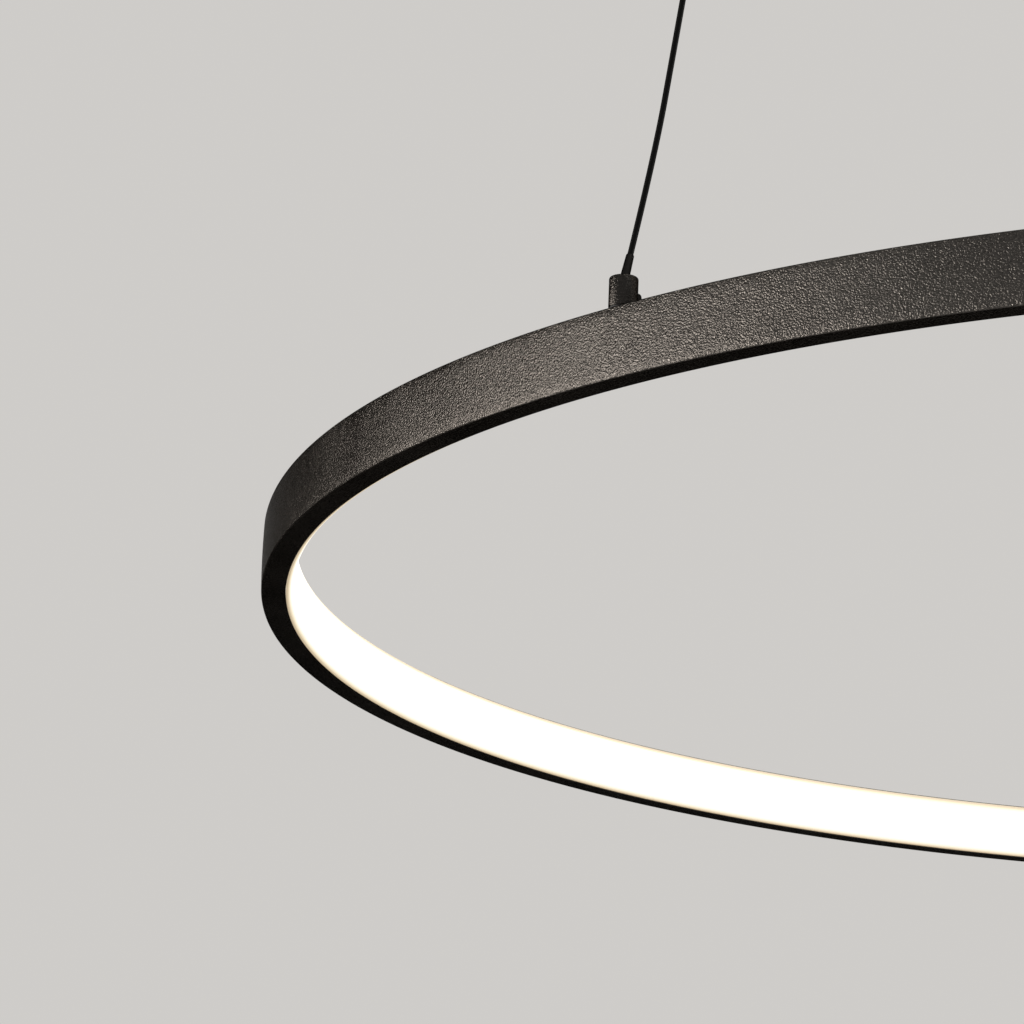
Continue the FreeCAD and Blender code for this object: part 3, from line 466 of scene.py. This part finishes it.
cup = {"radius": 4.15, "height": 9.4, "topRound": 0.75, "footRound": 0.25, "foot": 0.4,
       "mouth": 2.75, "mouthRound": 0.2, "seat": 2.05, "pivot": 8.4, "bore": 2.85,
       "boreTop": 5.3, "lipRise": 0.9}
ballEnd = {"ball": 2.0, "flankAngles": (0, 13, 26, 38), "foot": 1.35, "top": 1.15, "length": 8.4,
           "endRound": 0.25, "bore": 0.95, "floor": 0.5, "nipple": 0.9, "nippleFoot": 1.5,
           "lean": 15.0}
sideScrew = {"height": 4.3, "shank": 0.95, "start": 2.75, "startRound": 0.2, "head": 1.7,
             "seat": 3.95, "seatRound": 0.1, "length": 1.9, "round": 0.5, "socket": 1.5,
             "socketDepth": 0.7, "socketPast": 1, "hole": 1.0, "holeReach": (1.0, 6.0),
             "spotFace": 1.85, "faceReach": 6.5}
sideways = Matrix.Rotation(math.radians(90), 4, "Y")  # lays +Z over onto local +X


def anchorCup():
    lip = math.sqrt(cup["seat"] ** 2 - cup["lipRise"] ** 2)
    body = turned([
        (cup["radius"], cup["foot"], cup["footRound"]),
        (cup["radius"], cup["height"], cup["topRound"]),
        (cup["mouth"], cup["height"], cup["mouthRound"]), (lip, cup["pivot"] + cup["lipRise"]),
        (cup["seat"], cup["pivot"]), (cup["seat"], cup["boreTop"]),
        (cup["bore"], cup["boreTop"]), (cup["bore"], cup["foot"])], steps=96)
    across = Matrix.Translation((0, 0, sideScrew["height"] * mm)) @ sideways
    hole = moved(rod(sideScrew["hole"], *sideScrew["holeReach"]), across)
    spotFace = moved(rod(sideScrew["spotFace"], sideScrew["seat"], sideScrew["faceReach"]), across)
    return cutAway(body, [hole], [spotFace])


def ferruleEnd():
    neck = math.sqrt(ballEnd["ball"] ** 2 - ballEnd["foot"] ** 2)
    flank = [(ballEnd["ball"] * math.cos(math.radians(t)),
              ballEnd["ball"] * math.sin(math.radians(t))) for t in ballEnd["flankAngles"]]
    return turned(flank + [
        (ballEnd["foot"], neck), (ballEnd["top"], ballEnd["length"], ballEnd["endRound"]),
        (ballEnd["bore"], ballEnd["length"]), (ballEnd["bore"], ballEnd["floor"]),
        (0, ballEnd["floor"]), (0, -ballEnd["nipple"]),
        (ballEnd["nippleFoot"], -ballEnd["nipple"])], steps=48)


def capScrew():
    # a domed head with a hexagon socket, along its own +Z
    start, seat = sideScrew["start"], sideScrew["seat"]
    end = seat + sideScrew["length"]
    body = turned([
        (sideScrew["shank"], start, sideScrew["startRound"]), (sideScrew["shank"], seat),
        (sideScrew["head"], seat, sideScrew["seatRound"]),
        (sideScrew["head"], end, sideScrew["round"]), (0, end), (0, start)], steps=48)
    socket = rod(sideScrew["socket"] / math.sqrt(3), end - sideScrew["socketDepth"],
                 end + sideScrew["socketPast"], sides=6)
    return cutAway(body, [socket])


for number, azimuth in stations.items():
    upright = stationPlace(azimuth, ring["middle"], ring["top"])
    across = stationPlace(azimuth, ring["middle"], ring["top"] + sideScrew["height"]) @ sideways
    leaning = stationPlace(azimuth, ring["middle"], ring["top"] + cup["pivot"], ballEnd["lean"])
    showPiece(f"anchorCup{number}", anchorCup(), "ring", cupCoatPaintedShade,
              f"anchor_cup_{number}", upright)
    showPiece(f"cupScrew{number}", capScrew(), "ring", satinBlack,
              f"cup_screw_{number}", across)
    showPiece(f"wireEnd{number}", ferruleEnd(), f"wire_end_{number}", satinBlack,
              f"wire_end_{number}", leaning)
print("wire fittings made")


# the wires: start stands over the ball's centre, knee over the ring's top, grip from the axis

wireSizes = {"radius": 0.875, "length": 0.955, "start": 1.1, "knee": 47.5, "mouth": -49.5,
             "tail": -12.0, "grip": 223.0, "mouthRun": 12, "keep": 0.66744,
             "smoothness": 16, "roundness": 5}


def wireRoute():
    # (inwards, up) in a station's plane, mm: up the ferrule, one knee, a long straight run,
    # and into the gripper
    lean = math.radians(ballEnd["lean"])
    pivot = Vector((0, 0, ring["top"] + cup["pivot"]))
    start = pivot + Vector((math.sin(lean), 0, math.cos(lean))) * wireSizes["start"]
    rise = wireSizes["knee"] - cup["pivot"]
    knee = pivot + Vector((rise * math.tan(lean), 0, rise))
    inward = ring["middle"] - wireSizes["grip"]
    mouth = Vector((inward, 0, wireSizes["mouth"]))
    tail = Vector((inward, 0, wireSizes["tail"]))
    run = (mouth - knee).normalized()
    afterKnee = knee + run * (knee - start).length
    beforeMouth = mouth - run * wireSizes["mouthRun"] * wireSizes["radius"]  # 6 diameters
    return [start, knee, afterKnee, beforeMouth, mouth, tail]


def wireLine(name, points, bevel):
    curve = bpy.data.curves.new(name, "CURVE")
    curve.dimensions = "3D"
    curve.resolution_u = wireSizes["smoothness"]
    spline = curve.splines.new("NURBS")
    spline.points.add(len(points) - 1)
    for spot, point in zip(spline.points, points):
        spot.co = (*point, 1)
    spline.order_u = 3
    spline.use_endpoint_u = True
    curve.bevel_depth = bevel
    curve.bevel_resolution = wireSizes["roundness"]
    curve.use_fill_caps = bevel > 0
    carrier = bpy.data.objects.new(name, curve)
    bpy.context.scene.collection.objects.link(carrier)
    bpy.context.view_layer.update()
    mesh = bpy.data.meshes.new_from_object(carrier)
    bpy.data.objects.remove(carrier)
    bpy.data.curves.remove(curve)
    return mesh


for number, azimuth in stations.items():
    place = stationPlace(azimuth, ring["middle"], 0)
    route = [place @ (point * mm) for point in wireRoute()]
    line = wireLine(f"line{number}", route, 0)
    bpy.data.meshes.remove(line)
    mesh = wireLine(f"wire{number}", route, wireSizes["radius"] * mm)
    mesh.name = f"wire{number}"
    mesh.materials.clear()
    mesh.materials.append(wireJacket)
    mesh.shade_smooth()
    wire = bpy.data.objects.new(f"wire{number}", mesh)
    bpy.context.scene.collection.objects.link(wire)
    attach(wire, "rose")
    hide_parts(f"wire_{number}")
    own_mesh(wire)
print("wires made")


# the ceiling rose: a cover over a plate, held by three screws in its side

rose = {"radius": 240.0, "height": 34.0, "wall": 1.0, "edgeRound": 2.5, "rimRound": 0.3,
        "gap": 0.5, "screwDepth": 7.5, "screwHole": 1.65, "screwReach": 6, "gripHole": 5.1,
        "gripReach": (-2, 3), "steps": 360}
plate = {"radius": 238.6, "wall": 1.5, "rim": 13.0, "rimRound": 0.3, "edgeRound": 1.6,
         "insideRound": 0.5, "cableHole": 15.0, "cableRound": 0.4, "ceilingCircle": 150.0,
         "ceilingHole": 2.75, "fixingHole": 1.9, "holeReach": (-4, 2), "sideInset": 1,
         "driverHoles": ((-80.5, -80.0), (80.5, -80.0)), "earthHole": (35.0, 50.0)}
roseScrew = {"shank": 1.5, "length": 6.0, "startRound": 0.3, "head": 2.8, "headLength": 1.8,
             "seatRound": 0.15, "round": 1.3, "crossLength": 3.2, "crossWidth": 0.6,
             "crossDepth": 1.1, "crossPast": 1}


def outOfSide(azimuth):
    # lays a piece's +Z out through the rose's side, at the depth of its screws
    depth = Matrix.Translation((0, 0, -rose["screwDepth"] * mm))
    return turnZ(azimuth) @ depth @ sideways


def sideHoles(radius, wallPlace):
    # three radial holes near the ceiling, midway between the wire stations
    near, far = wallPlace - rose["screwReach"], wallPlace + rose["screwReach"]
    return [moved(rod(radius, near, far, sides=32), outOfSide(azimuth))
            for azimuth in betweenStations]


def roseCover():
    base, outer, wall = -rose["height"], rose["radius"], rose["wall"]
    low, high = rose["gripReach"]
    shell = turned([
        (outer, base, rose["edgeRound"]), (outer, -rose["gap"], rose["rimRound"]),
        (outer - wall, -rose["gap"], rose["rimRound"]),
        (outer - wall, base + wall, rose["edgeRound"] - wall), (0, base + wall), (0, base)],
        steps=rose["steps"])
    gripHoles = [moved(rod(rose["gripHole"], base + low, base + high),
                       polar(azimuth, wireSizes["grip"], 0)) for azimuth in stations.values()]
    return cutAway(shell, gripHoles + sideHoles(rose["screwHole"], outer))


def ceilingPlate():
    outer, wall = plate["radius"], plate["wall"]
    shell = turned([
        (outer, -plate["rim"], plate["rimRound"]), (outer, 0, plate["edgeRound"]),
        (plate["cableHole"], 0, plate["cableRound"]),
        (plate["cableHole"], -wall, plate["cableRound"]),
        (outer - wall, -wall, plate["insideRound"]),
        (outer - wall, -plate["rim"], plate["rimRound"])], steps=rose["steps"])
    holes = [moved(rod(plate["ceilingHole"], *plate["holeReach"]),
                   polar(azimuth, plate["ceilingCircle"], 0)) for azimuth in betweenStations]
    holes += [moved(rod(plate["fixingHole"], *plate["holeReach"], sides=32),
                    Matrix.Translation((x * mm, y * mm, 0)))
              for x, y in plate["driverHoles"] + (plate["earthHole"],)]
    return cutAway(shell, holes + sideHoles(rose["screwHole"], outer - plate["sideInset"]))


def panScrews():
    # domed heads with cross recesses, pointing out of the rose's side
    start, seat = rose["radius"] - roseScrew["length"], rose["radius"]
    end = seat + roseScrew["headLength"]
    screws = []
    for azimuth in betweenStations:
        body = turned([
            (roseScrew["shank"], start, roseScrew["startRound"]), (roseScrew["shank"], seat),
            (roseScrew["head"], seat, roseScrew["seatRound"]),
            (roseScrew["head"], end, roseScrew["round"]), (0, end), (0, start)], steps=48)
        bars = [[slotBar(roseScrew["crossLength"], roseScrew["crossWidth"],
                         end - roseScrew["crossDepth"], end + roseScrew["crossPast"], turn)]
                for turn in (0, 90)]
        screws.append(moved(cutAway(body, *bars), outOfSide(azimuth)))
    return joined(screws)


showPiece("roseCover", roseCover(), "rose", powderCoat, "rose_cover")
showPiece("ceilingPlate", ceilingPlate(), "rose", zincSteel, "ceiling_plate")
showPiece("roseScrews", panScrews(), "rose", powderCoat, "rose_screws")
print("rose made")


# the wire grippers: heights are from the rose's underside, the jaws and nuts are the CAD's own

gripper = {"head": 6.5, "headLength": 12.0, "headRound": 0.8, "seatRound": 0.15, "shank": 5.0,
           "shankLength": 11.0, "shankRound": 0.4, "wireBore": 1.0, "chamber": 3.8,
           "chamberLow": 3.0, "chamberHigh": 9.5, "throat": 2.4, "throatTop": -3.0,
           "throatLow": -4.0, "plungerBore": 3.55, "boreRound": 0.2, "line": 0.35,
           "linePlace": -2.2, "lineRound": 0.12}
plunger = {"radius": 3.4, "nose": 2.1, "noseRound": 0.15, "shoulder": -6.7, "shoulderRound": 0.2,
           "tip": -17.0, "tipRound": 0.15, "top": -2.6, "bore": 1.1, "flare": 2.5,
           "flareDepth": 3.5, "flareAngles": (75, 60, 45, 30, 15), "round": 0.5}
coil = {"mean": 2.6, "wire": 0.4, "low": 2.1, "high": 9.4, "turns": 7, "stepsPerTurn": 28,
        "sides": 10, "keep": 0.65753}


def gripperBody():
    # the line is a fine groove round the head
    line, place, edge = gripper["line"], gripper["linePlace"], gripper["lineRound"]
    return turned([
        (gripper["head"], -gripper["headLength"], gripper["headRound"]),
        (gripper["head"], place, edge), (gripper["head"] - line, place + line),
        (gripper["head"], place + 2 * line, edge), (gripper["head"], 0, gripper["seatRound"]),
        (gripper["shank"], 0), (gripper["shank"], gripper["shankLength"], gripper["shankRound"]),
        (gripper["wireBore"], gripper["shankLength"]),
        (gripper["wireBore"], gripper["chamberHigh"]),
        (gripper["chamber"], gripper["chamberHigh"]), (gripper["chamber"], gripper["chamberLow"]),
        (gripper["throat"], gripper["throatTop"]), (gripper["throat"], gripper["throatLow"]),
        (gripper["plungerBore"], gripper["throatLow"]),
        (gripper["plungerBore"], -gripper["headLength"], gripper["boreRound"])], steps=72)


def plungerSleeve():
    bore, flare, tip, deep = (plunger[key] for key in ("bore", "flare", "tip", "flareDepth"))
    mouthCurve = [(flare - (flare - bore) * math.sin(math.radians(t)),
                   tip + deep * (1 - math.cos(math.radians(t)))) for t in plunger["flareAngles"]]
    return turned([
        (flare, tip, plunger["tipRound"]), (plunger["radius"], tip, plunger["round"]),
        (plunger["radius"], plunger["shoulder"], plunger["shoulderRound"]),
        (plunger["nose"], plunger["shoulder"]),
        (plunger["nose"], plunger["top"], plunger["noseRound"]), (bore, plunger["top"]),
        (bore, tip + deep)] + mouthCurve, steps=48)


def springCoil():
    # a round section carried up a helix, with its ends closed
    bm = bmesh.new()
    start = Matrix.Translation((coil["mean"] * mm, 0, (coil["low"] + coil["wire"]) * mm))
    bmesh.ops.create_circle(bm, cap_ends=True, segments=coil["sides"], radius=coil["wire"] * mm,
                            matrix=start @ Matrix.Rotation(math.radians(90), 4, "X"))
    steps = coil["turns"] * coil["stepsPerTurn"]
    climb = coil["high"] - coil["low"] - 2 * coil["wire"]
    circle = list(bm.verts) + list(bm.edges) + list(bm.faces)
    bmesh.ops.spin(bm, geom=circle, cent=(0, 0, 0), axis=(0, 0, 1), steps=steps,
                   dvec=(0, 0, climb / steps * mm), angle=coil["turns"] * 2 * math.pi)
    bmesh.ops.recalc_face_normals(bm, faces=list(bm.faces))
    return bm


for number, azimuth in stations.items():
    place = stationPlace(azimuth, wireSizes["grip"], -rose["height"])
    showPiece(f"gripperBody{number}", gripperBody(), "rose", powderCoat,
              f"gripper_body_{number}", place)
    showPiece(f"gripperPlunger{number}", plungerSleeve(), f"plunger_{number}", satinBlack,
              f"gripper_plunger_{number}", place)
    spring = showPiece(f"gripperSpring{number}", springCoil(), "rose", springSteel,
                       f"gripper_spring_{number}", place)
    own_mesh(spring)
print("grippers made")


# the CAD nodes that keep their shape get these finishes

keptNodes = [
    (zincSteel, ["driver_screws", "earth_screw", "terminal_screws",
                 "gripper_nut_1", "gripper_nut_2", "gripper_nut_3"]),
    (rawAluminium, ["splice_plate"]),
    (brass, ["solder_tag_1", "solder_tag_2", "anchor_washer_3",
             "anchor_base_1", "anchor_base_2", "anchor_base_3",
             "anchor_nut_1", "anchor_nut_2", "anchor_nut_3",
             "gripper_jaws_1", "gripper_jaws_2", "gripper_jaws_3"]),
    (blackNylon, ["anchor_bush_1", "anchor_bush_2", "anchor_bush_3"]),
    (whitePlastic, ["led_driver", "terminal_block"]),
    (stripBoard, ["led_flex"]),
    (ledPhosphor, ["led_packages"]),
]
for material, names in keptNodes:
    for name in names:
        nodes[name].data.materials.clear()
        nodes[name].data.materials.append(material)
print("kept nodes finished")


# floor, light and camera

studio = {"floor": -2.3, "floorSize": 60, "floorTone": (0.32, 0.315, 0.305, 1),
          "floorRoughness": 0.9, "floorLift": 0.72, "background": (0.62, 0.605, 0.585, 1),
          "fill": 0.06, "fillColour": (1, 0.985, 0.96, 1)}
lights = {
    "key": {"aim": (0, -0.4, -0.97), "way": (-0.712, -0.697, -0.07), "far": 3.6, "size": 1.25,
            "power": 177, "colour": (1, 0.94, 0.88)},
    "overhead": {"aim": (0, 0, -2.3), "way": (0.15, 0.1, 0.98), "far": 4.0, "size": 2.5,
                 "power": 70, "colour": (1, 0.98, 0.95)},
    "back": {"aim": (0, 0, -0.8), "way": (0.35, 0.8, 0.48), "far": 3.2, "size": 1.6,
             "power": 55, "colour": (1, 0.98, 0.95)}}
photoView = {"lens": 170.782, "sensor": 36, "around": 35.455, "place": (0, -1.596313, -1.371502),
             "pan": 11.4925, "tilt": 105.2066, "roll": 2.1872}


def softLight(name, light):
    lamp = bpy.data.lights.new(name, "AREA")
    lamp.shape = "SQUARE"
    lamp.size = light["size"]
    lamp.energy = light["power"]
    lamp.color = light["colour"]
    holder = bpy.data.objects.new(name, lamp)
    way = Vector(light["way"]).normalized()
    holder.location = Vector(light["aim"]) + way * light["far"]
    holder.rotation_euler = way.to_track_quat("Z", "Y").to_euler()
    holder.visible_camera = False
    bpy.context.scene.collection.objects.link(holder)


def seenOutright(tree):
    # 1 where the camera, a reflection or a look through glass meets the surface, else 0
    way = tree.nodes.new("ShaderNodeLightPath")
    total = way.outputs["Is Camera Ray"]
    for other in ("Is Glossy Ray", "Is Transmission Ray"):
        either = tree.nodes.new("ShaderNodeMath")
        either.operation = "MAXIMUM"
        tree.links.new(total, either.inputs[0])
        tree.links.new(way.outputs[other], either.inputs[1])
        total = either.outputs[0]
    return total


def studioWorld():
    world = bpy.data.worlds.new("studio")
    bpy.context.scene.world = world
    world.use_nodes = True
    tree = world.node_tree
    lit = tree.nodes["Background"]
    lit.inputs["Color"].default_value = studio["fillColour"]
    lit.inputs["Strength"].default_value = studio["fill"]
    seen = tree.nodes.new("ShaderNodeBackground")
    seen.inputs["Color"].default_value = studio["background"]
    mix = tree.nodes.new("ShaderNodeMixShader")
    tree.links.new(seenOutright(tree), mix.inputs[0])
    tree.links.new(lit.outputs[0], mix.inputs[1])
    tree.links.new(seen.outputs[0], mix.inputs[2])
    tree.links.new(mix.outputs[0], tree.nodes["World Output"].inputs["Surface"])


def paleFloor():
    bm = bmesh.new()
    bmesh.ops.create_grid(bm, x_segments=1, y_segments=1, size=studio["floorSize"])
    floor = meshObject("floor", moved(bm, Matrix.Translation((0, 0, studio["floor"]))))
    material = bpy.data.materials.new("paleFloor")
    material.use_nodes = True
    tree = material.node_tree
    shader = tree.nodes["Principled BSDF"]
    shader.inputs["Base Color"].default_value = studio["floorTone"]
    shader.inputs["Roughness"].default_value = studio["floorRoughness"]
    shader.inputs["Emission Color"].default_value = studio["background"]
    lift = tree.nodes.new("ShaderNodeMath")
    lift.operation = "MULTIPLY"
    lift.inputs[1].default_value = studio["floorLift"]
    tree.links.new(seenOutright(tree), lift.inputs[0])
    tree.links.new(lift.outputs[0], shader.inputs["Emission Strength"])
    clear = tree.nodes.new("ShaderNodeBsdfTransparent")  # a view from below looks through it
    side = tree.nodes.new("ShaderNodeNewGeometry")
    mix = tree.nodes.new("ShaderNodeMixShader")
    tree.links.new(side.outputs["Backfacing"], mix.inputs[0])
    tree.links.new(shader.outputs[0], mix.inputs[1])
    tree.links.new(clear.outputs[0], mix.inputs[2])
    tree.links.new(mix.outputs[0], tree.nodes["Material Output"].inputs["Surface"])
    floor.data.materials.append(material)


def photoCamera():
    data = bpy.data.cameras.new("camera")
    data.lens = photoView["lens"]
    data.sensor_width = photoView["sensor"]
    camera = bpy.data.objects.new("camera", data)
    tilt = Matrix.Rotation(math.radians(photoView["tilt"]), 4, "X")
    camera.matrix_world = (turnZ(photoView["around"]) @ Matrix.Translation(photoView["place"])
                           @ turnZ(photoView["pan"]) @ tilt @ turnZ(photoView["roll"]))
    bpy.context.scene.collection.objects.link(camera)
    bpy.context.scene.camera = camera


studioWorld()
paleFloor()
for name, light in lights.items():
    softLight(name, light)
photoCamera()
bpy.context.scene.view_settings.view_transform = "Standard"
print("studio made")
